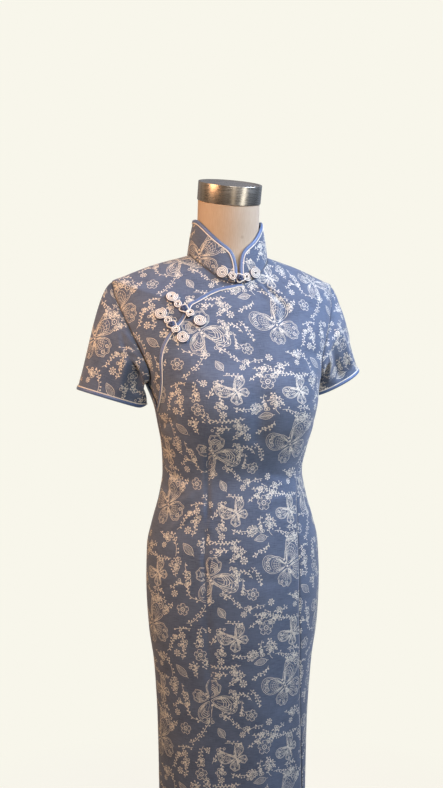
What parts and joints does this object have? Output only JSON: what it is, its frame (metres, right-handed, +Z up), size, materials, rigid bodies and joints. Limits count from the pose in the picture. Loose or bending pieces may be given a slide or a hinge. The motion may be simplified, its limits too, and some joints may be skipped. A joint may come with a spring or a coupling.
{
  "type": "cheongsam dress on a dress form",
  "caption": "Fitted knee-length cheongsam with a stand collar, a curved side opening, coil frogs and short set-in sleeves, on a limbless dress form with a pole and round base.",
  "frame": {"origin": "centre of the underside of the stand's base, on the floor", "axes": "+Z up; the dress's front faces -Y and its left side is at +X"},
  "size_m": [0.5168, 0.36, 1.5426],
  "materials": {
    "cloth": "matt blue-grey cotton with an off-white figure",
    "binding": "blue satin bias binding",
    "piping": "white cord piping",
    "cord": "rolled white cord, blue beneath",
    "form_cover": "cream cotton over a hard form",
    "steel": "brushed steel"
  },
  "bodies": {
    "root": {"back": "cloth", "collar": "cloth", "collar_binding": "binding", "collar_piping": "piping", "form_neck_cap": "steel", "form_torso": "form_cover", "frog_lower_knot": "binding", "frog_lower_left_large_coil": "cord", "frog_lower_left_small_coil": "cord", "frog_lower_loop": "cord", "frog_lower_right_large_coil": "cord", "frog_lower_right_small_coil": "cord", "frog_neck_knot": "binding", "frog_neck_left_large_coil": "cord", "frog_neck_left_small_coil": "cord", "frog_neck_loop": "cord", "frog_neck_right_large_coil": "cord", "frog_neck_right_small_coil": "cord", "frog_upper_knot": "binding", "frog_upper_left_large_coil": "cord", "frog_upper_left_small_coil": "cord", "frog_upper_loop": "cord", "frog_upper_right_large_coil": "cord", "frog_upper_right_small_coil": "cord", "front": "cloth", "opening_binding": "binding", "opening_piping": "piping", "sleeve_left": "cloth", "sleeve_left_binding": "binding", "sleeve_left_piping": "piping", "sleeve_right": "cloth", "sleeve_right_binding": "binding", "sleeve_right_piping": "piping", "stand_base": "steel", "stand_pole": "steel", "stand_socket": "steel", "underlap": "cloth"}
  },
  "joints": []
}
